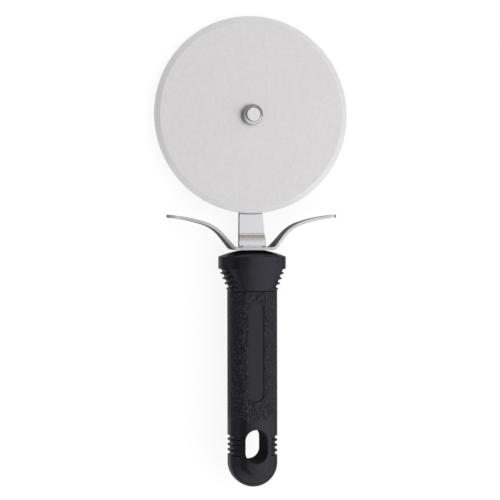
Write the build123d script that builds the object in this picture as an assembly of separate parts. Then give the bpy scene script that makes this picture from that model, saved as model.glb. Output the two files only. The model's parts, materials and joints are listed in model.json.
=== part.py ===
"""One-sided pizza cutter: a bevelled wheel on a shoulder rivet, a jogged steel shank, a bent finger guard
and a soft handle moulded over a rigid core.

Each piece is drawn in the straight frame of the tool: x across, y along it with the wheel's centre at zero
and the handle below, z towards the front, where the rivet has its head. The middle plane of the handle is
z = 0. The whole tool is then laid on its back, where it rests on the collar and on the rivet's tail.
Sizes are in millimetres, angles in degrees.
"""

from math import atan2, cos, degrees, radians, sin, sqrt, tan
import os

from build123d import *

# Cutting wheel
wheel_diameter = 101.6
wheel_thickness = 2.0
bevel_width = 2.8
cutting_edge_width = 0.3

# Axle rivet
rivet_head_diameter = 10.5
rivet_head_height = 3.2
rivet_head_wall_height = 1.9
rivet_flat_diameter = 6.6
rivet_corner_radius = 1.0
rivet_corner_angle = 38
rivet_shoulder_diameter = 6.4
rivet_neck_diameter = 5.0
rivet_tail_diameter = 8.0
rivet_tail_flat_diameter = 6.4
rivet_tail_height = 1.3

# Washers
front_washer_diameter = 9.9
front_washer_thickness = 0.45
spacer_washer_diameter = 13.0
spacer_washer_thickness = 0.6

# Fits
running_clearance = 0.06
washer_clearance = 0.05
seat_clearance = 0.02
side_play = 0.1
slot_clearance = 0.1

# Shank
strip_thickness = 2.5
shank_eye_width = 10.4
shank_rim_width = 12.3
shank_crease_width = 13.2
shank_foot_width = 14.2
shank_foot_height = 2.0
shoulder_chamfer = 0.5
shoulder_radius = 0.8
tang_width = 10.0
tang_length = 70.0
tang_end_radius = 2.5
locking_hole_diameter = 4.0
locking_hole_spacing = 34.0
first_locking_hole_depth = 22.0
jog_depth = 3.8
lean_share = 0.45
lean_tuck = 0.6
crease_to_guard = 7.05
crease_radius = 1.35
jog_foot_radius = 9.4
jog_angle = 36

# Finger guard
axle_to_guard = 68.25
guard_thickness = 1.5
guard_flat_length = 18.2
guard_root_radius = 3.0
guard_rise_angle = 50
guard_rise_length = 7.6
guard_curl_radius = 20.0
guard_middle_angle = 18
guard_wing_radius = 78.0
guard_tip_angle = 2
guard_span = 89.4
guard_root_depth = 15.8
guard_bend_depth = 13.4
guard_bend_reach = 12.6
guard_middle_depth = 10.2
guard_middle_reach = 25.0
guard_tip_depth = 8.0

# Handle collar
collar_width = 34.2
collar_depth = 23.5
collar_corner_radius = 9.0
collar_length = 6.2
dome_rise = 3.4
dome_top_share = 0.28
dome_width_shares = (1.0, 0.92, 0.8, 0.64, 0.46, dome_top_share)
front_crown_radius = 90.0

# Stepped grooves under the collar
step_count = 4
step_pitch = 2.65
step_zone_length = 11.2
step_tip_rise = 0.9
step_tip_width = 0.6
step_tip_inset = 0.3
step_notch_width = 1.1
step_notch_inset = 1.6
step_runout = 0.85
panel_top_width = 28.6
panel_foot_width = 17.6
panel_taper_length = 8.0
panel_step = 0.4
panel_foot_dip = 0.4
panel_foot_slope_length = 0.45

# Grip
grip_width = 25.0
grip_depth = 21.0
grip_corner_radius = 8.0
collar_to_butt = 118.7
plate_width = 7.7
plate_length = 51.0
plate_depth = 0.45
plate_wall_angle = 45
plate_below_steps = 5.9

# Side grooves beside the hang hole
groove_count = 4
groove_pitch = 2.72
groove_depth = 1.25
groove_floor_width = 1.1
groove_tip_width = 0.6
groove_tip_inset = 0.08
groove_runout = 0.4
groove_stop_width = 15.8

# Hang hole
hole_width = 11.4
hole_length = 17.2
hole_rim_radius = 0.3
hole_to_butt = 21.5

# Rigid core
core_width = 13.0
core_depth = 8.6
core_corner_radius = 2.5
core_top_cover = 3.2
core_end_cover = 6.0

overrun = 2.0

# Levels along the tool, measured up from the wheel's centre
guard_top = -axle_to_guard
guard_bottom = guard_top - guard_thickness
lean_top = lean_tuck - wheel_diameter / 2
crease = guard_top + crease_to_guard
collar_rim = guard_bottom - dome_rise
collar_foot = collar_rim - collar_length
steps_foot = collar_foot - step_zone_length
butt_end = collar_rim - collar_to_butt
butt_centre = butt_end + grip_width / 2
hole_centre = butt_end + hole_to_butt
plate_centre = steps_foot - plate_below_steps - plate_length / 2
tang_end = guard_bottom - tang_length

# Levels through the tool, measured up from the handle's middle plane
eye_front = strip_thickness / 2 - jog_depth
eye_back = eye_front - strip_thickness
spacer_front = eye_front + spacer_washer_thickness
wheel_back = spacer_front + side_play
wheel_front = wheel_back + wheel_thickness
front_washer_back = wheel_front + side_play
head_base = front_washer_back + front_washer_thickness
tail_end = eye_back - rivet_tail_height


def outline(*edges):
    """Face inside one half of a closed line, given for x >= 0, and its mirror image."""
    half = Curve() + list(edges)
    return make_face(half + mirror(half, Plane.YZ))


def turned(*points):
    """Solid of revolution about the z axis, from (radius, z) points."""
    return revolve(Plane.XZ * make_face(Polyline(*points, close=True)), Axis.Z)


def ring(outer_diameter, bore_diameter, low, high):
    """Flat washer between two levels."""
    body = Cylinder(outer_diameter / 2, high - low) - Cylinder(bore_diameter / 2, high - low)
    return Pos(Z=(low + high) / 2) * body


def cutting_wheel():
    """Disc ground on both faces to a narrow edge."""
    bore = rivet_shoulder_diameter / 2 + running_clearance
    rim = wheel_diameter / 2
    edge_low = (wheel_back + wheel_front - cutting_edge_width) / 2
    edge_high = edge_low + cutting_edge_width
    return turned(
        (bore, wheel_back),
        (rim - bevel_width, wheel_back),
        (rim, edge_low),
        (rim, edge_high),
        (rim - bevel_width, wheel_front),
        (bore, wheel_front),
    )


def axle_rivet():
    """Flat head with a round corner and a cone, shoulder that carries the wheel, neck and peened tail."""
    head = rivet_head_diameter / 2
    shoulder = rivet_shoulder_diameter / 2
    neck = rivet_neck_diameter / 2
    wall_top = head_base + rivet_head_wall_height
    head_top = head_base + rivet_head_height
    flat = Line((0, head_top), (rivet_flat_diameter / 2, head_top))
    corner = JernArc(flat @ 1, flat % 1, rivet_corner_radius, -rivet_corner_angle)
    side = Polyline(
        corner @ 1,
        (head, wall_top),
        (head, head_base),
        (shoulder, head_base),
        (shoulder, eye_front),
        (neck, eye_front),
        (neck, eye_back),
        (rivet_tail_diameter / 2, eye_back),
        (rivet_tail_flat_diameter / 2, tail_end),
        (0, tail_end),
        (0, head_top),
    )
    return revolve(Plane.XZ * make_face(Curve() + [flat, corner, side]), Axis.Z)


def front_washer():
    """Wear washer under the rivet head."""
    bore = rivet_shoulder_diameter + 2 * washer_clearance
    return ring(front_washer_diameter, bore, front_washer_back, head_base)


def spacer_washer():
    """Washer between the wheel and the shank."""
    bore = rivet_shoulder_diameter + 2 * washer_clearance
    return ring(spacer_washer_diameter, bore, eye_front, spacer_front)


def strip_line(offset):
    """One face of the shank seen from the side, in (y, z), from its upper end down to the tang's end.

    Behind the wheel it is flat. It leans forward from the rim to a crease, and jogs forward again below it.
    """
    lean_rise = jog_depth * lean_share
    lean_angle = atan2(lean_rise, lean_top - crease)
    lean_run = lean_rise / sin(lean_angle)
    bends = crease_radius * (cos(lean_angle) - cos(radians(jog_angle)))
    bends += jog_foot_radius * (1 - cos(radians(jog_angle)))
    ramp_length = (jog_depth - lean_rise - bends) / sin(radians(jog_angle))
    bend_start = lean_top + crease_radius * tan(lean_angle / 2)
    upper = Line((shank_eye_width / 2 + overrun, offset - jog_depth), (bend_start, offset - jog_depth))
    bend = JernArc(upper @ 1, upper % 1, crease_radius - offset, -degrees(lean_angle))
    lean = Line(bend @ 1, bend @ 1 + (bend % 1) * (lean_run - crease_radius * tan(lean_angle / 2)))
    fold = JernArc(lean @ 1, lean % 1, crease_radius - offset, degrees(lean_angle) - jog_angle)
    ramp = Line(fold @ 1, fold @ 1 + (fold % 1) * ramp_length)
    foot = JernArc(ramp @ 1, ramp % 1, jog_foot_radius + offset, jog_angle)
    lower = Line(foot @ 1, (tang_end - overrun, offset))
    return [upper, bend, lean, fold, ramp, foot, lower]


def shank_outline():
    """The strip seen from the front: eye, widening stem, shoulders, tang."""
    eye = shank_eye_width / 2
    foot = shank_foot_width / 2
    tang = tang_width / 2
    foot_top = guard_top + shank_foot_height
    shoulder = JernArc((foot, guard_top + shoulder_radius), (0, -1), shoulder_radius, -90)
    tang_corner = JernArc((tang, tang_end + tang_end_radius), (0, -1), tang_end_radius, -90)
    return outline(
        ThreePointArc((0, eye), (eye * cos(radians(45)), eye * sin(radians(45))), (eye, 0)),
        Polyline(
            (eye, 0),
            (shank_rim_width / 2, -wheel_diameter / 2),
            (shank_crease_width / 2, crease),
            (foot, foot_top),
            shoulder @ 0,
        ),
        shoulder,
        Polyline(shoulder @ 1, (tang, guard_top), tang_corner @ 0),
        tang_corner,
        Line(tang_corner @ 1, (0, tang_end)),
    )


def shoulder_wedge():
    """What the chamfer takes off the lower front edges of the shoulders, beside the tang."""
    front = strip_thickness / 2
    corner = Polyline(
        (guard_top - shoulder_chamfer, front - 2 * shoulder_chamfer),
        (guard_top + 2 * shoulder_chamfer, front + shoulder_chamfer),
        (guard_top - shoulder_chamfer, front + shoulder_chamfer),
        close=True,
    )
    wedge = extrude(Plane.YZ * make_face(corner), shank_foot_width, both=True)
    keep = Box(tang_width, 4 * shoulder_chamfer, strip_thickness + 4 * shoulder_chamfer)
    return wedge - Pos(Y=guard_top) * keep


def shank_solid():
    """Bent strip without its holes."""
    front = strip_line(strip_thickness / 2)
    back = strip_line(-strip_thickness / 2)
    ends = [Line(front[0] @ 0, back[0] @ 0), Line(front[-1] @ 1, back[-1] @ 1)]
    side = Plane.YZ * make_face(Curve() + front + back + ends)
    strip = extrude(side, shank_foot_width, both=True)
    return (strip & extrude(shank_outline(), jog_depth + strip_thickness, both=True)) - shoulder_wedge()


def shank():
    """Strip with the rivet hole in its eye and two holes that lock the tang in the core."""
    neck_hole = Cylinder(rivet_neck_diameter / 2 + seat_clearance, strip_thickness + 2 * overrun)
    body = shank_solid() - Pos(Z=(eye_front + eye_back) / 2) * neck_hole
    for place in (0, locking_hole_spacing):
        locking_hole = Cylinder(locking_hole_diameter / 2, strip_thickness + 2 * overrun)
        body -= Pos(Y=guard_bottom - first_locking_hole_depth - place) * locking_hole
    return body


def guard_line(offset):
    """One face of the guard's right wing seen from the front, in (x, y), from the middle to the tip."""
    middle = (guard_top + guard_bottom) / 2 + offset
    flat = Line((0, middle), (guard_flat_length / 2, middle))
    root = JernArc(flat @ 1, flat % 1, guard_root_radius - offset, guard_rise_angle)
    rise = Line(root @ 1, root @ 1 + (root % 1) * guard_rise_length)
    curl = JernArc(rise @ 1, rise % 1, guard_curl_radius + offset, guard_middle_angle - guard_rise_angle)
    wing = JernArc(curl @ 1, curl % 1, guard_wing_radius + offset, guard_tip_angle - guard_middle_angle)
    return [flat, root, rise, curl, wing]


def finger_guard():
    """Bent strip, wide at the root and narrow at its round tips, with a slot for the tang."""
    upper = guard_line(guard_thickness / 2)
    lower = guard_line(-guard_thickness / 2)
    bent = extrude(outline(*upper, *lower, Line(upper[-1] @ 1, lower[-1] @ 1)), guard_root_depth, both=True)
    tip = guard_tip_depth / 2
    tip_start = guard_span / 2 - tip
    root = Line((0, guard_root_depth / 2), (guard_flat_length / 2, guard_root_depth / 2))
    edge = Spline(
        root @ 1,
        (guard_bend_reach, guard_bend_depth / 2),
        (guard_middle_reach, guard_middle_depth / 2),
        (tip_start, tip),
        tangents=((1, 0), (1, 0)),
    )
    nose = ThreePointArc(
        (tip_start, tip),
        (guard_span / 2, 0),
        (tip_start, -tip),
    )
    blank = outline(root, edge, nose, mirror(edge, Plane.XZ), mirror(root, Plane.XZ))
    seen_from_above = extrude(Plane.XZ * blank, wheel_diameter, both=True)
    slot = Box(
        tang_width + 2 * slot_clearance,
        guard_thickness + 2 * overrun,
        strip_thickness + 2 * slot_clearance,
    )
    return (bent & seen_from_above) - Pos(Y=(guard_top + guard_bottom) / 2) * slot


def half_section(width, depth, corner_radius, crown_radius):
    """Right half of a handle section in (x, z): crowned front, flat back, round corners."""
    side = width / 2
    reach = side - corner_radius
    crown_centre = depth / 2 - crown_radius
    corner_height = crown_centre + sqrt((crown_radius - corner_radius) ** 2 - reach**2)
    lean = atan2(reach, corner_height - crown_centre)
    front_end = (crown_radius * sin(lean), crown_centre + crown_radius * cos(lean))
    half_lean = (radians(90) + lean) / 2
    corner_middle = (
        reach + corner_radius * sin(half_lean),
        corner_height + corner_radius * cos(half_lean),
    )
    crown_middle = (crown_radius * sin(lean / 2), crown_centre + crown_radius * cos(lean / 2))
    front = ThreePointArc((0, depth / 2), crown_middle, front_end)
    front_corner = ThreePointArc(front_end, corner_middle, (side, corner_height))
    back_corner = JernArc((side, corner_radius - depth / 2), (0, -1), corner_radius, -90)
    flank = Line((side, corner_height), back_corner @ 0)
    back = Line(back_corner @ 1, (0, -depth / 2))
    return [front, front_corner, flank, back_corner, back]


def section(width, depth, corner_radius, level, inset=0, crown_radius=front_crown_radius):
    """Handle section at one level along the tool, drawn inwards by an inset."""
    face = outline(
        *half_section(width - 2 * inset, depth - 2 * inset, corner_radius - inset, crown_radius - inset)
    )
    return Pos(Y=level) * (Plane(origin=(0, 0, 0), x_dir=(1, 0, 0), z_dir=(0, -1, 0)) * face)


def dome():
    """Low pillow on the collar, with a small flat where the guard sits."""
    faces = []
    for share in dome_width_shares:
        rise = dome_rise * (1 - share**2) / (1 - dome_top_share**2)
        faces.append(
            section(
                collar_width * share,
                collar_depth * share,
                collar_corner_radius * share,
                collar_rim + rise,
                crown_radius=front_crown_radius * share,
            )
        )
    return loft(faces)


def taper_section(drop, inset, runout=0):
    """Section of the smooth taper from the collar to the grip, at a drop below the collar's foot.

    A runout lifts it at the front and back, where the grooves that it stands for get shallow.
    """
    share = drop / step_zone_length
    foot_width = grip_width + 2 * panel_step
    foot_depth = grip_depth - 2 * panel_foot_dip
    foot_corner = grip_corner_radius + panel_step
    return section(
        collar_width + (foot_width - collar_width) * share,
        collar_depth + (foot_depth - collar_depth) * share + 2 * runout,
        collar_corner_radius + (foot_corner - collar_corner_radius) * share,
        collar_foot - drop,
        inset,
    )


def step_cutter():
    """What the stepped grooves take off the taper, outside its smooth front and back panels."""
    faces = [taper_section(0, step_tip_inset, step_runout)]
    for step in range(step_count):
        tip = step_pitch * (step + step_tip_rise)
        notch = tip - step_pitch / 2
        for drop, inset in (
            (notch - step_notch_width / 2, step_notch_inset),
            (notch + step_notch_width / 2, step_notch_inset),
            (tip - step_tip_width / 2, step_tip_inset),
            (tip + step_tip_width / 2, step_tip_inset),
        ):
            faces.append(taper_section(drop, inset, step_runout))
    faces.append(taper_section(step_zone_length, panel_step, step_runout))
    stepped = loft(faces, ruled=True)
    panel_foot = panel_foot_width / 2
    panel = outline(
        Polyline(
            (0, collar_foot + overrun),
            (panel_top_width / 2, collar_foot + overrun),
            (panel_top_width / 2, collar_foot),
            (panel_foot, collar_foot - panel_taper_length),
            (panel_foot, steps_foot - overrun),
            (0, steps_foot - overrun),
        )
    )
    zone = Box(collar_width + 2 * overrun, step_zone_length, collar_depth + 2 * overrun)
    return Pos(Y=(collar_foot + steps_foot) / 2) * zone - extrude(panel, collar_depth, both=True) - stepped


def grooved_section(level, inset):
    """Section of the grooved part of the grip, lifted at the front and back, where the grooves get shallow."""
    return section(grip_width, grip_depth + 2 * groove_runout, grip_corner_radius, level, inset)


def groove_cutter():
    """Four grooves that follow each side of the grip and run out beside the hang hole."""
    length = groove_count * groove_pitch
    top = hole_centre + length / 2
    wall_length = (groove_pitch - groove_floor_width - groove_tip_width) / 2
    faces = [grooved_section(top, groove_tip_inset)]
    for groove in range(groove_count):
        wall_top = top - groove_tip_width / 2 - groove_pitch * groove
        floor_top = wall_top - wall_length
        floor_foot = floor_top - groove_floor_width
        faces.append(grooved_section(wall_top, groove_tip_inset))
        faces.append(grooved_section(floor_top, groove_depth))
        faces.append(grooved_section(floor_foot, groove_depth))
        faces.append(grooved_section(floor_foot - wall_length, groove_tip_inset))
    faces.append(grooved_section(top - length, groove_tip_inset))
    grooved = loft(faces, ruled=True)
    zone = Box(grip_width + 2 * overrun, length, grip_depth + 2 * overrun)
    keep = Box(groove_stop_width, length, grip_depth + 2 * overrun)
    return Pos(Y=hole_centre) * (zone - keep) - grooved


def handle_outside():
    """Handle with its collar, steps and grooves, and no holes."""
    collar = extrude(section(collar_width, collar_depth, collar_corner_radius, collar_rim), collar_length)
    taper = loft([taper_section(0, 0), taper_section(step_zone_length, 0)], ruled=True)
    slope_foot = steps_foot - panel_foot_slope_length
    full = section(grip_width, grip_depth, grip_corner_radius, slope_foot)
    dipped = section(grip_width, grip_depth - 2 * panel_foot_dip, grip_corner_radius, steps_foot)
    slope = loft([dipped, full], ruled=True)
    grip = extrude(full, slope_foot - butt_centre)
    half = half_section(grip_width, grip_depth, grip_corner_radius, front_crown_radius)
    axis_line = Line((0, grip_depth / 2), (0, -grip_depth / 2))
    butt_face = Plane.XZ * make_face(Curve() + half + [axis_line])
    butt = Pos(Y=butt_centre) * revolve(butt_face, Axis.Z, -180)
    return dome() + collar + taper + slope + grip + butt - step_cutter() - groove_cutter()


def core_solid():
    """Outside of the rigid core."""
    top = collar_rim - core_top_cover
    bottom = hole_centre + hole_length / 2 + core_end_cover
    face = Plane.XZ * RectangleRounded(core_width, core_depth, core_corner_radius)
    return Pos(Y=top) * extrude(face, top - bottom)


def handle_core():
    """Core moulded round the tang and through its locking holes."""
    return core_solid() - shank()


def handle_grip():
    """Soft handle moulded over the core, with the bare recessed plate and the hang hole."""
    hole = SlotOverall(hole_length, hole_width, rotation=90)
    body = handle_outside() - Pos(Y=hole_centre) * extrude(hole, grip_depth, both=True)
    rims = body.edges().filter_by_position(Axis.Y, hole_centre - hole_length, hole_centre + hole_length)
    rims = [
        edge
        for edge in rims
        if abs(edge.center().X) < hole_width / 2 + seat_clearance
        and abs(edge.center().Z) > grip_depth / 2 - groove_depth
    ]
    body = fillet(rims, hole_rim_radius)
    plate_wall = plate_depth * tan(radians(plate_wall_angle))
    plate = SlotOverall(plate_length - 2 * plate_wall, plate_width - 2 * plate_wall, rotation=90)
    recess = extrude(plate, overrun, taper=-plate_wall_angle)
    body -= Pos(Y=plate_centre, Z=grip_depth / 2 - plate_depth) * recess
    return body - core_solid() - shank_solid()


def rest_place(pieces):
    """Lays the tool on its back on z = 0, centred over the origin, touching at the collar and the rivet's tail."""
    reach = rivet_tail_flat_diameter / 2 - collar_rim
    tilt = degrees(atan2(tail_end + collar_depth / 2, reach))
    laid = Rot(X=-tilt)
    box = (laid * Compound(children=[part.moved(Location()) for part in pieces])).bounding_box()
    return Pos(Y=-(box.min.Y + box.max.Y) / 2, Z=-box.min.Z) * laid


pieces = {
    "cutting_wheel": cutting_wheel(),
    "axle_rivet": axle_rivet(),
    "front_washer": front_washer(),
    "spacer_washer": spacer_washer(),
    "shank": shank(),
    "finger_guard": finger_guard(),
    "handle_core": handle_core(),
    "handle_grip": handle_grip(),
}
place = rest_place(pieces.values())
os.makedirs("parts", exist_ok=True)
for name, piece in pieces.items():
    laid_piece = place * piece
    laid_piece.label = name
    export_step(laid_piece, f"parts/{name}.step")
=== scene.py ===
"""Looks of a pizza cutter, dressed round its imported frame: materials, soft studio light, floor and camera.

Lengths are in metres and angles in degrees. The tool frame of the materials has its origin at the wheel's
centre, x across the tool, y along it with the handle below zero, and z towards the front.
"""

import json
from math import atan2, cos, pi, radians, sin

import bpy
from mathutils import Matrix, Vector

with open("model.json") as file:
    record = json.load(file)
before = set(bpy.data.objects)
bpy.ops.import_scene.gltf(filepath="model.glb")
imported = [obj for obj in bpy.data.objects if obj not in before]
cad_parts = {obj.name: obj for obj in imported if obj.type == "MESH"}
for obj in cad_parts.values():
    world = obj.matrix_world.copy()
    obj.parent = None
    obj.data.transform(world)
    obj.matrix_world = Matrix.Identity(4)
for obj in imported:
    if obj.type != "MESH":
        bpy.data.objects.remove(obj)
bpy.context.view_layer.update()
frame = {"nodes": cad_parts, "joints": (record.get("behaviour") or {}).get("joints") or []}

MM = 0.001

# Camera: the photograph looks down on the tool from slightly left of it
CAMERA_YAW = -12.2
CAMERA_PITCH = 5.0
CAMERA_ROLL = 0.77
CAMERA_DISTANCE = 0.8514
CAMERA_AIM = Vector((-0.00123, 0.00092, 0.012))
CAMERA_LENS = 118.8

# Bands are the start and the end of a fade. Radii of the wheel and the rivet's head, from the axle
BEVEL_BAND = (48.0 * MM, 48.15 * MM)
# On the rivet these bands place painted shade on the corner and the edge, and a painted highlight on the
# cone
RIVET_CORNER_SHADE_BAND = (3.35 * MM, 3.55 * MM)
RIVET_CONE_HIGHLIGHT_BAND = (3.75 * MM, 4.0 * MM)
RIVET_EDGE_SHADE_BAND = (4.9 * MM, 5.1 * MM)

# Bend of the shank and root of the guard, with a painted highlight line and painted shade: levels along the
# tool from the wheel's centre, and distances to each side of its middle line
PAINTED_HIGHLIGHT_LINE = -61.65 * MM
PAINTED_HIGHLIGHT_BAND = (0.25 * MM, 0.4 * MM)
RAMP_SHADE_MIDDLE = -63.6 * MM
RAMP_SHADE_FOOT = -66.5 * MM
SHANK_REACH = 7.6 * MM
MARK_FADE = 0.5 * MM
# Painted shade on the guard next to the shank, where it bends at its root
ROOT_SHADE_BAND = (10.0 * MM, 14.5 * MM)

# Grip: levels along the tool from the wheel's centre, and bands outside the edges of its obrounds
GRAIN_TOP = -91.0 * MM
GRAIN_TOP_FADE = 0.5 * MM
GRAIN_FOOT = -156.0 * MM
GRAIN_FOOT_FADE = 3.0 * MM
GRIP_BACK_BAND = (-1.0 * MM, 0.0)
PLATE_CENTRE = -121.95 * MM
PLATE_STRAIGHT = 21.65 * MM
PLATE_RADIUS = 3.85 * MM
PLATE_BAND = (0.0, 0.4 * MM)
HOLE_CENTRE = -170.35 * MM
HOLE_STRAIGHT = 2.9 * MM
HOLE_RADIUS = 5.7 * MM
HOLE_WALL_BAND = (0.0, 0.12 * MM)
HOLE_RIM_BAND = (0.1 * MM, 0.45 * MM)

# Noise stays near one half, so a ramp between these values takes it over its full range
WIDE = (0.3, 0.7)
NARROW = (0.35, 0.65)
SCUFFS = (0.35, 0.7)
BLOTCHES = (0.35, 0.68)

# How far a face of a strip has to look along an axis to count as its sheared edge
SHEARED_BAND = (0.7, 0.8)

# Roughness, from the smoothest to the roughest spots where there are two, and what the creases add to it
BLADE_FACE_ROUGHNESS = (0.52, 0.60)
BLADE_BEVEL_ROUGHNESS = 0.68
RIVET_ROUGHNESS = (0.08, 0.13)
WASHER_ROUGHNESS = (0.24, 0.34)
SHANK_ROUGHNESS = (0.28, 0.36)
GUARD_ROUGHNESS = (0.09, 0.15)
STRIP_DULL_ROUGHNESS = 0.62
CORE_ROUGHNESS = (0.42, 0.58)
SKIN_ROUGHNESS = (0.2, 0.25)
GRAIN_ROUGHNESS = (0.21, 0.27)
CREASE_ROUGHNESS = 0.14
HOLE_ROUGHNESS = 0.85

# Colours, linear
BLADE_COLOUR = (0.83, 0.816, 0.822)
BEVEL_COLOUR = (0.88, 0.876, 0.886)
RIVET_COLOUR = (0.46, 0.454, 0.454)
# Painted highlight on the rivet's cone, and painted shade on its corner and edge
RIVET_CONE_HIGHLIGHT_COLOUR = (0.57, 0.56, 0.55)
RIVET_SHADE_COLOUR = (0.26, 0.255, 0.25)
STRIP_COLOUR = (0.66, 0.654, 0.670)
# Painted shade on the shank's ramp, broken by streaks; a painted highlight line above it; painted shade at
# the guard's root
RAMP_SHADE_COLOUR = (0.43, 0.405, 0.375)
PAINTED_HIGHLIGHT_COLOUR = (1.0, 0.98, 0.97)
ROOT_SHADE_COLOUR = (0.2, 0.195, 0.19)
STRIP_GRAZING_TINT = (0.42, 0.42, 0.42)
CORE_COLOUR = (0.022, 0.022, 0.023)
GRIP_COLOUR = (0.0095, 0.0095, 0.0104)
GRIP_SPECULAR_TINT = (0.80, 0.79, 1.0)
# Painted shade round the hang hole's rim
HOLE_RIM_SHADE_COLOUR = (0.001, 0.001, 0.001)

# Floor: white to the camera, and a dim grey in every glossy reflection
FLOOR_SIZE = 6.0
FLOOR_COLOUR = 0.17
FLOOR_GLOW = 0.88
FLOOR_GLOW_IN_GLOSS = 0.2

# Studio: a bright ceiling with a dim patch on the left of a line overhead, and dimmer walls below it
BRIGHT_CEILING = 1.6
DIM_CEILING = 0.15
END_CEILING = 1.2
DIM_PATCH_YAW = 9.5
DIM_PATCH_EDGE_HALF_WIDTH = 3.5
DIM_PATCH_END_SINE = 0.3
END_CEILING_SINE = 0.6
BRIGHT_WALL = 1.1
DIM_WALL = 0.4
TOWARDS_BRIGHT_WALL = (0.7, -0.7, 0)
WALL_BAND = (-0.9, 0.6)
WALL_SINE = 0.5
CEILING_SINE = 0.88
KEY_PLACE = (0.745, -0.2, 1.065)
KEY_SIZE = (1.27, 1.8)
KEY_RADIANCE = 0.1

joint = frame["joints"][0]
wheel_centre = Vector(joint["pos_m"])
axle = Vector(joint["axis"])
tilt = atan2(axle.y, axle.z)


def node(tree, kind, inputs=None, **settings):
    """Adds a node and sets its properties, then sets or links its inputs by name or number."""
    made = tree.nodes.new("ShaderNode" + kind)
    for name, value in settings.items():
        setattr(made, name, value)
    for name, value in (inputs or {}).items():
        if isinstance(value, bpy.types.NodeSocket):
            tree.links.new(value, made.inputs[name])
        else:
            made.inputs[name].default_value = value
    return made


def maths(tree, operation, *values, clamp=False):
    """Output of a Math node."""
    return node(tree, "Math", dict(enumerate(values)), operation=operation, use_clamp=clamp).outputs[0]


def ramp(tree, value, low, high, result_low=0.0, result_high=1.0):
    """Smooth step of a value between two levels."""
    inputs = {
        "Value": value,
        "From Min": low,
        "From Max": high,
        "To Min": result_low,
        "To Max": result_high,
    }
    return node(tree, "MapRange", inputs, interpolation_type="SMOOTHSTEP").outputs[0]


def scaled(tree, vector, scale):
    """Vector times a scale for each axis."""
    return node(tree, "VectorMath", {0: vector, 1: scale}, operation="MULTIPLY").outputs[0]


def noise(tree, vector, scale, detail=2.0, roughness=0.5, distortion=0.0):
    """Noise around one half, with a scale for each axis in cells per metre."""
    inputs = {
        "Vector": scaled(tree, vector, scale),
        "Scale": 1.0,
        "Detail": detail,
        "Roughness": roughness,
        "Distortion": distortion,
    }
    return node(tree, "TexNoise", inputs).outputs[0]


def parts(tree, vector):
    """X, Y and Z of a vector."""
    return node(tree, "SeparateXYZ", {0: vector}).outputs


def length(tree, vector):
    """Length of a vector."""
    return node(tree, "VectorMath", {0: vector}, operation="LENGTH").outputs["Value"]


def blended(tree, share, low, high):
    """Number between two numbers or sockets."""
    return node(tree, "Mix", {0: share, 2: low, 3: high}).outputs[0]


def towards(tree, vector, axis):
    """Share of a vector along an axis."""
    return node(tree, "VectorMath", {0: vector, 1: axis}, operation="DOT_PRODUCT").outputs["Value"]


def shaded(colour, share):
    """Colour made lighter or darker."""
    return tuple(channel * share for channel in colour)


def varied(tree, tone, colour, low, high):
    """Colour between a darker and a lighter share of itself."""
    ends = {6: (*shaded(colour, low), 1), 7: (*shaded(colour, high), 1)}
    return node(tree, "Mix", {0: tone, **ends}, data_type="RGBA").outputs[2]


def covered(tree, share, below, colour):
    """Colour socket covered by another colour, or by another socket, where the share is one."""
    over = colour if isinstance(colour, bpy.types.NodeSocket) else (*colour, 1)
    return node(tree, "Mix", {0: share, 6: below, 7: over}, data_type="RGBA").outputs[2]


def tool_coordinates(tree):
    """Position in the tool frame."""
    place = node(tree, "TexCoord").outputs["Object"]
    inputs = {"Vector": place, "Location": wheel_centre, "Rotation": (-tilt, 0, 0)}
    return node(tree, "Mapping", inputs, vector_type="TEXTURE").outputs[0]


def material(name):
    """New material with one Principled shader, and the tree's tool coordinates."""
    made = bpy.data.materials.new(name)
    made.use_nodes = True
    tree = made.node_tree
    shader = tree.nodes["Principled BSDF"]
    return made, tree, shader, tool_coordinates(tree)


def brushed(tree, shader, across, anisotropy):
    """Stretches the highlights of a brushed face across its brushing lines, given in the tool frame."""
    inputs = {"Vector": across, "Rotation": (-tilt, 0, 0)}
    local = node(tree, "Mapping", inputs, vector_type="VECTOR").outputs[0]
    spaces = dict(vector_type="VECTOR", convert_from="OBJECT", convert_to="WORLD")
    turned = node(tree, "VectorTransform", {"Vector": local}, **spaces).outputs[0]
    tree.links.new(turned, shader.inputs["Tangent"])
    shader.inputs["Anisotropic"].default_value = anisotropy


def relief(tree, shader, height, strength, distance, edge_radius):
    """Bump on top of slightly rounded edges."""
    soft_edge = node(tree, "Bevel", {"Radius": edge_radius}, samples=6).outputs[0]
    inputs = {"Strength": strength, "Distance": distance, "Height": height, "Normal": soft_edge}
    tree.links.new(node(tree, "Bump", inputs).outputs[0], shader.inputs["Normal"])


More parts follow.
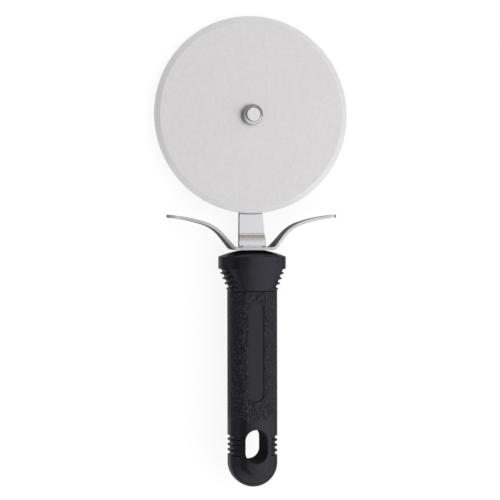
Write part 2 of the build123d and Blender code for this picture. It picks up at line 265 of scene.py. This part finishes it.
def blade_steel():
    """Satin sheet brushed along the tool, with a finely ground bevel and faint handling marks."""
    made, tree, shader, place = material("blade_steel")
    shader.inputs["Metallic"].default_value = 1.0
    fine = noise(tree, place, (5200, 90, 5200), detail=3)
    coarse = noise(tree, place, (900, 28, 900), detail=2)
    cloud = noise(tree, place, (45, 30, 45), detail=2)
    across = scaled(tree, place, (1, 1, 0))
    radius = length(tree, across)
    direction = node(tree, "VectorMath", {0: across}, operation="NORMALIZE").outputs[0]
    grinding = noise(tree, direction, (260, 260, 1), detail=3)
    on_bevel = ramp(tree, radius, *BEVEL_BAND)
    lines = blended(tree, 0.45, coarse, fine)
    lines = blended(tree, on_bevel, lines, grinding)
    tone = ramp(tree, blended(tree, 0.25, lines, cloud), *WIDE)
    mottle = ramp(tree, noise(tree, place, (620, 420, 620), detail=4, roughness=0.65), *WIDE)
    face_tone = blended(tree, 0.65, tone, mottle)
    face = varied(tree, face_tone, BLADE_COLOUR, 0.96, 1.03)
    bevel = varied(tree, tone, BEVEL_COLOUR, 0.96, 1.03)
    colour = covered(tree, on_bevel, face, bevel)
    tree.links.new(colour, shader.inputs["Base Color"])
    face_roughness = ramp(tree, lines, *WIDE, *BLADE_FACE_ROUGHNESS)
    roughness = blended(tree, on_bevel, face_roughness, BLADE_BEVEL_ROUGHNESS)
    tree.links.new(roughness, shader.inputs["Roughness"])
    spread = node(tree, "Mix", {0: on_bevel, 4: (1, 0, 0), 5: direction}, data_type="VECTOR").outputs[1]
    brushed(tree, shader, spread, anisotropy=0.55)
    relief(tree, shader, lines, strength=0.12, distance=0.02 * MM, edge_radius=0.12 * MM)
    return made


def polished_steel(name, roughness_range):
    """Turned steel: faint rings and scuffs, and by radius painted shade on a corner, a painted highlight on
    a cone and painted shade at the edge.
    """
    made, tree, shader, place = material(name)
    shader.inputs["Metallic"].default_value = 1.0
    across = scaled(tree, place, (1, 1, 0))
    radius = length(tree, across)
    rings = noise(tree, node(tree, "CombineXYZ", {"X": radius}).outputs[0], (4200, 1, 1), detail=2)
    dents = noise(tree, place, (420, 420, 420), detail=1)
    scuffs = noise(tree, place, (1800, 1800, 1800), detail=4, roughness=0.6)
    tone = blended(tree, 0.5, dents, scuffs)
    colour = varied(tree, ramp(tree, tone, *NARROW), RIVET_COLOUR, 0.95, 1.02)
    # Painted shade on the corner and the edge, and a painted highlight on the cone between them
    colour = covered(tree, ramp(tree, radius, *RIVET_CORNER_SHADE_BAND), colour, RIVET_SHADE_COLOUR)
    colour = covered(tree, ramp(tree, radius, *RIVET_CONE_HIGHLIGHT_BAND), colour, RIVET_CONE_HIGHLIGHT_COLOUR)
    colour = covered(tree, ramp(tree, radius, *RIVET_EDGE_SHADE_BAND), colour, RIVET_SHADE_COLOUR)
    tree.links.new(colour, shader.inputs["Base Color"])
    roughness = ramp(tree, scuffs, *SCUFFS, *roughness_range)
    tree.links.new(roughness, shader.inputs["Roughness"])
    uneven = blended(tree, 0.15, dents, rings)
    relief(tree, shader, uneven, strength=0.22, distance=0.1 * MM, edge_radius=0.08 * MM)
    return made


def painted_bend_light(tree, place):
    """Shares of the painted highlight line below the shank's crease, of the streaky painted shade below
    that, and of the painted shade in the bends at the guard's root."""
    axes = parts(tree, place)
    reach = maths(tree, "ABSOLUTE", axes["X"])
    on_shank = ramp(tree, reach, SHANK_REACH, SHANK_REACH + MARK_FADE, 1.0, 0.0)
    near_root = ramp(tree, reach, *ROOT_SHADE_BAND, 1.0, 0.0)
    root_shade = maths(tree, "SUBTRACT", near_root, on_shank, clamp=True)
    gap = maths(tree, "ABSOLUTE", maths(tree, "SUBTRACT", axes["Y"], PAINTED_HIGHLIGHT_LINE))
    line = ramp(tree, gap, *PAINTED_HIGHLIGHT_BAND, 1.0, 0.0)
    top = ramp(tree, axes["Y"], PAINTED_HIGHLIGHT_LINE - MARK_FADE, PAINTED_HIGHLIGHT_LINE, 1.0, 0.0)
    foot = ramp(tree, axes["Y"], RAMP_SHADE_FOOT, RAMP_SHADE_MIDDLE)
    streaks = ramp(tree, noise(tree, place, (2400, 40, 2400), detail=2), *WIDE, 0.6, 1.0)
    streaks = maths(tree, "MULTIPLY", streaks, maths(tree, "MULTIPLY", top, foot))
    return maths(tree, "MULTIPLY", line, on_shank), maths(tree, "MULTIPLY", streaks, on_shank), root_shade


def strip_steel(name, line_scale, edge_axis, flat_share, edge_share, roughness_range):
    """Tumbled strip: faint rolling lines, soft mottling, and dull edges sheared across one axis.

    The shares paint shade onto its flats and edges by which way they face, and light where a share is above
    one, and the roughness is that of its flats.
    """
    made, tree, shader, place = material(name)
    shader.inputs["Metallic"].default_value = 1.0
    lines = noise(tree, place, line_scale, detail=3)
    mottle = noise(tree, place, (700, 700, 700), detail=3, roughness=0.6)
    tone = blended(tree, 0.5, lines, mottle)
    shader.inputs["Specular Tint"].default_value = (*STRIP_GRAZING_TINT, 1)
    normal = node(tree, "TexCoord").outputs["Normal"]
    facing = maths(tree, "ABSOLUTE", towards(tree, normal, edge_axis))
    sheared = ramp(tree, facing, *SHEARED_BAND)
    patchy = ramp(tree, tone, *NARROW)
    # Painted shade and light: darker or lighter copies of the strip's colour on its flats and on its edges
    flat = varied(tree, patchy, STRIP_COLOUR, 0.94 * flat_share, 1.03 * flat_share)
    edge = varied(tree, patchy, STRIP_COLOUR, 0.94 * edge_share, 1.03 * edge_share)
    painted_highlight, ramp_shade, root_shade = painted_bend_light(tree, place)
    # Painted shade on the shank's ramp, a painted highlight line below its crease, and painted shade at the
    # guard's root
    colour = covered(tree, ramp_shade, flat, RAMP_SHADE_COLOUR)
    colour = covered(tree, painted_highlight, colour, PAINTED_HIGHLIGHT_COLOUR)
    colour = covered(tree, root_shade, colour, ROOT_SHADE_COLOUR)
    colour = covered(tree, sheared, colour, edge)
    tree.links.new(colour, shader.inputs["Base Color"])
    roughness = ramp(tree, tone, *NARROW, *roughness_range)
    dull = maths(tree, "MAXIMUM", sheared, painted_highlight)
    roughness = blended(tree, dull, roughness, STRIP_DULL_ROUGHNESS)
    tree.links.new(roughness, shader.inputs["Roughness"])
    relief(tree, shader, tone, strength=0.15, distance=0.03 * MM, edge_radius=0.2 * MM)
    return made


def core_plastic():
    """Moulded glass-filled plastic, dark, with a fine speckle."""
    made, tree, shader, place = material("core_plastic")
    speckle = noise(tree, place, (2600, 2600, 2600), detail=3, roughness=0.6)
    flow = noise(tree, place, (160, 60, 160), detail=2)
    tone = blended(tree, 0.6, flow, speckle)
    colour = varied(tree, ramp(tree, tone, *NARROW), CORE_COLOUR, 0.8, 1.25)
    tree.links.new(colour, shader.inputs["Base Color"])
    tree.links.new(ramp(tree, speckle, *WIDE, *CORE_ROUGHNESS), shader.inputs["Roughness"])
    relief(tree, shader, speckle, strength=0.2, distance=0.04 * MM, edge_radius=0.2 * MM)
    return made


def obround_gap(tree, across, along, centre, straight, radius):
    """Distance outside the edge of an obround that lies along the tool."""
    beyond = maths(tree, "ABSOLUTE", maths(tree, "SUBTRACT", along, centre))
    beyond = maths(tree, "MAXIMUM", maths(tree, "SUBTRACT", beyond, straight), 0.0)
    squares = maths(tree, "ADD", maths(tree, "POWER", across, 2.0), maths(tree, "POWER", beyond, 2.0))
    return maths(tree, "SUBTRACT", maths(tree, "SQRT", squares), radius)


def in_hang_hole(tree, place):
    """Shares of the hang hole's wall, and of the wall and its rim of painted shade together."""
    axes = parts(tree, place)
    gap = obround_gap(tree, axes["X"], axes["Y"], HOLE_CENTRE, HOLE_STRAIGHT, HOLE_RADIUS)
    return ramp(tree, gap, *HOLE_WALL_BAND, 1.0, 0.0), ramp(tree, gap, *HOLE_RIM_BAND, 1.0, 0.0)


def grain_zone(tree, place):
    """Share of the leather grain: on the grip's body, not on its bare plate."""
    axes = parts(tree, place)
    above = ramp(tree, axes["Y"], GRAIN_FOOT - GRAIN_FOOT_FADE, GRAIN_FOOT + GRAIN_FOOT_FADE)
    below = ramp(tree, axes["Y"], GRAIN_TOP - GRAIN_TOP_FADE, GRAIN_TOP + GRAIN_TOP_FADE, 1.0, 0.0)
    gap = obround_gap(tree, axes["X"], axes["Y"], PLATE_CENTRE, PLATE_STRAIGHT, PLATE_RADIUS)
    off_plate = ramp(tree, gap, *PLATE_BAND)
    behind = ramp(tree, axes["Z"], *GRIP_BACK_BAND, 1.0, 0.0)
    clear = maths(tree, "MAXIMUM", off_plate, behind)
    return maths(tree, "MULTIPLY", maths(tree, "MULTIPLY", above, below), clear)


def wrinkles(tree, place):
    """Shallow folds between groups of pebbles."""
    return ramp(tree, noise(tree, place, (430, 250, 430), detail=2, roughness=0.6), *WIDE)


def pebbles(tree, place):
    """Leather grain: low pebbles with creases between them, the cells bent by noise."""
    wander = node(tree, "TexNoise", {"Vector": place, "Scale": 700.0, "Detail": 1.0}).outputs["Color"]
    centred = node(tree, "VectorMath", {0: wander, 1: (0.5, 0.5, 0.5)}, operation="SUBTRACT").outputs[0]
    bent = node(tree, "VectorMath", {0: scaled(tree, centred, (1.3 * MM,) * 3), 1: place}).outputs[0]
    inputs = {"Vector": scaled(tree, bent, (1, 0.75, 1)), "Scale": 560.0}
    creases = node(tree, "TexVoronoi", inputs, feature="DISTANCE_TO_EDGE").outputs["Distance"]
    return ramp(tree, creases, 0.0, 0.4)


def soft_grip():
    """Black soft-touch rubber: leather grain on the grip, a fine matt skin elsewhere, with painted
    highlights on the pebbles, painted shade in the creases and at the hang hole's rim.
    """
    made, tree, shader, place = material("soft_grip")
    zone = grain_zone(tree, place)
    pebble = pebbles(tree, place)
    skin = noise(tree, place, (5200, 5200, 5200), detail=2)
    cloud = noise(tree, place, (130, 90, 130), detail=3)
    height = maths(tree, "MULTIPLY_ADD", wrinkles(tree, place), 0.6, maths(tree, "MULTIPLY", pebble, 0.4))
    height = maths(tree, "MULTIPLY", height, zone)
    height = maths(tree, "MULTIPLY_ADD", skin, 0.015, height)
    # Painted shade in the grain's creases
    crease = maths(tree, "MULTIPLY", maths(tree, "SUBTRACT", 1.0, pebble), zone)
    tone = maths(tree, "MULTIPLY_ADD", crease, -0.35, ramp(tree, cloud, *WIDE, 0.4, 1.0), clamp=True)
    colour = varied(tree, tone, GRIP_COLOUR, 0.7, 1.15)
    # Painted highlight on the pebbles and painted shade in the creases between them
    painted_pebble_light = varied(tree, pebble, GRIP_COLOUR, 0.4, 2.4)
    colour = covered(tree, zone, colour, painted_pebble_light)
    wall, wall_and_rim = in_hang_hole(tree, place)
    blotch = ramp(tree, noise(tree, place, (560, 560, 330), detail=3, roughness=0.65), *BLOTCHES)
    # Painted shade round the hang hole's rim
    colour = covered(tree, wall_and_rim, colour, HOLE_RIM_SHADE_COLOUR)
    colour = covered(tree, wall, colour, varied(tree, blotch, GRIP_COLOUR, 0.6, 3.6))
    tree.links.new(colour, shader.inputs["Base Color"])
    smooth = ramp(tree, cloud, *WIDE, *SKIN_ROUGHNESS)
    grained = ramp(tree, skin, *WIDE, *GRAIN_ROUGHNESS)
    grained = maths(tree, "MULTIPLY_ADD", crease, CREASE_ROUGHNESS, grained)
    roughness = blended(tree, zone, smooth, grained)
    roughness = blended(tree, wall_and_rim, roughness, HOLE_ROUGHNESS)
    tree.links.new(roughness, shader.inputs["Roughness"])
    shader.inputs["Specular Tint"].default_value = (*GRIP_SPECULAR_TINT, 1)
    shader.inputs["Specular IOR Level"].default_value = 0.36
    shader.inputs["Sheen Weight"].default_value = 0.02
    shader.inputs["Sheen Roughness"].default_value = 0.4
    relief(tree, shader, height, strength=1.0, distance=0.6 * MM, edge_radius=0.15 * MM)
    return made


def overhead(yaw, pitch):
    """Direction that leans from straight up by a yaw to the right and a pitch away from the handle."""
    across = Vector((sin(radians(yaw)), 0, cos(radians(yaw))))
    return across * cos(radians(pitch)) + Vector((0, sin(radians(pitch)), 0))


def dress(finish, *names):
    """Gives CAD nodes their material."""
    for name in names:
        piece = frame["nodes"][name]
        piece.data.materials.clear()
        piece.data.materials.append(finish)


def directly_seen(tree, path):
    """One for rays that show the place to the camera, and not in a reflection or as light."""
    return maths(tree, "MAXIMUM", path["Is Camera Ray"], path["Is Transmission Ray"])


def make_floor():
    """Plain white floor that keeps the tool's shadow."""
    half = FLOOR_SIZE / 2
    mesh = bpy.data.meshes.new("floor")
    corners = [(-half, -half, 0), (half, -half, 0), (half, half, 0), (-half, half, 0)]
    mesh.from_pydata(corners, [], [(0, 1, 2, 3)])
    floor = bpy.data.objects.new("floor", mesh)
    bpy.context.scene.collection.objects.link(floor)
    made = bpy.data.materials.new("floor")
    made.use_nodes = True
    tree = made.node_tree
    shader = tree.nodes["Principled BSDF"]
    shader.inputs["Base Color"].default_value = (FLOOR_COLOUR, FLOOR_COLOUR, FLOOR_COLOUR, 1)
    shader.inputs["Roughness"].default_value = 0.9
    shader.inputs["Specular IOR Level"].default_value = 0.0
    shader.inputs["Emission Color"].default_value = (1, 1, 1, 1)
    path = node(tree, "LightPath").outputs
    seen = maths(tree, "MULTIPLY", directly_seen(tree, path), FLOOR_GLOW)
    glow = maths(tree, "MULTIPLY_ADD", path["Is Glossy Ray"], FLOOR_GLOW_IN_GLOSS, seen)
    tree.links.new(glow, shader.inputs["Emission Strength"])
    mesh.materials.append(made)


def make_world():
    """Studio, white to the camera: a bright ceiling with a dim patch on the left and ends of a level between
    the two, over walls that get brighter towards the right and the butt."""
    world = bpy.data.worlds.new("studio")
    world.use_nodes = True
    bpy.context.scene.world = world
    tree = world.node_tree
    background = tree.nodes["Background"]
    background.inputs["Color"].default_value = (1, 1, 1, 1)
    direction = node(tree, "TexCoord").outputs["Generated"]
    axes = parts(tree, direction)
    wall = ramp(tree, towards(tree, direction, TOWARDS_BRIGHT_WALL), *WALL_BAND, DIM_WALL, BRIGHT_WALL)
    past_edge = towards(tree, direction, overhead(DIM_PATCH_YAW + 90, 0))
    edge = sin(radians(DIM_PATCH_EDGE_HALF_WIDTH))
    along = maths(tree, "ABSOLUTE", axes["Y"])
    past_end = ramp(tree, along, DIM_PATCH_END_SINE, END_CEILING_SINE)
    middle = ramp(tree, past_edge, -edge, edge, DIM_CEILING, BRIGHT_CEILING)
    ceiling = blended(tree, past_end, middle, END_CEILING)
    height = ramp(tree, axes["Z"], WALL_SINE, CEILING_SINE)
    studio = blended(tree, height, wall, ceiling)
    seen = directly_seen(tree, node(tree, "LightPath").outputs)
    strength = blended(tree, seen, studio, 1.0)
    tree.links.new(strength, background.inputs["Strength"])


def softbox(name, place, size, radiance):
    """Rectangular lamp that faces the middle of the tool."""
    lamp = bpy.data.lights.new(name, "AREA")
    lamp.shape = "RECTANGLE"
    lamp.size, lamp.size_y = size
    lamp.energy = pi * size[0] * size[1] * radiance
    holder = bpy.data.objects.new(name, lamp)
    bpy.context.scene.collection.objects.link(holder)
    holder.location = place
    holder.rotation_mode = "QUATERNION"
    holder.rotation_quaternion = (Vector(place) - CAMERA_AIM).to_track_quat("Z", "Y")
    holder.visible_camera = False


def make_camera():
    """Long lens above the tool, turned by the photograph's yaw, pitch and roll."""
    roll = radians(CAMERA_ROLL)
    back = overhead(CAMERA_YAW, CAMERA_PITCH)
    right = Vector((0, 1, 0)).cross(back).normalized()
    up = back.cross(right)
    rolled_right = right * cos(roll) + up * sin(roll)
    rolled_up = up * cos(roll) - right * sin(roll)
    lens = bpy.data.cameras.new("camera")
    lens.lens = CAMERA_LENS
    camera = bpy.data.objects.new("camera", lens)
    bpy.context.scene.collection.objects.link(camera)
    turn = Matrix((rolled_right, rolled_up, back)).transposed()
    camera.matrix_world = Matrix.Translation(CAMERA_AIM + back * CAMERA_DISTANCE) @ turn.to_4x4()
    bpy.context.scene.camera = camera


dress(blade_steel(), "cutting_wheel")
dress(polished_steel("rivet_steel", RIVET_ROUGHNESS), "axle_rivet")
dress(polished_steel("washer_steel", WASHER_ROUGHNESS), "front_washer", "spacer_washer")
shank_steel = strip_steel(
    "shank_steel",
    line_scale=(3600, 70, 3600),
    edge_axis=(1, 0, 0),
    flat_share=0.97,
    edge_share=0.55,
    roughness_range=SHANK_ROUGHNESS,
)
guard_steel = strip_steel(
    "guard_steel",
    line_scale=(70, 70, 3600),
    edge_axis=(0, 0, 1),
    flat_share=0.9,
    edge_share=1.03,
    roughness_range=GUARD_ROUGHNESS,
)
dress(shank_steel, "shank")
dress(guard_steel, "finger_guard")
dress(core_plastic(), "handle_core")
dress(soft_grip(), "handle_grip")

make_floor()
make_world()
softbox("key_light", KEY_PLACE, KEY_SIZE, KEY_RADIANCE)
make_camera()
bpy.context.scene.view_settings.view_transform = "Standard"
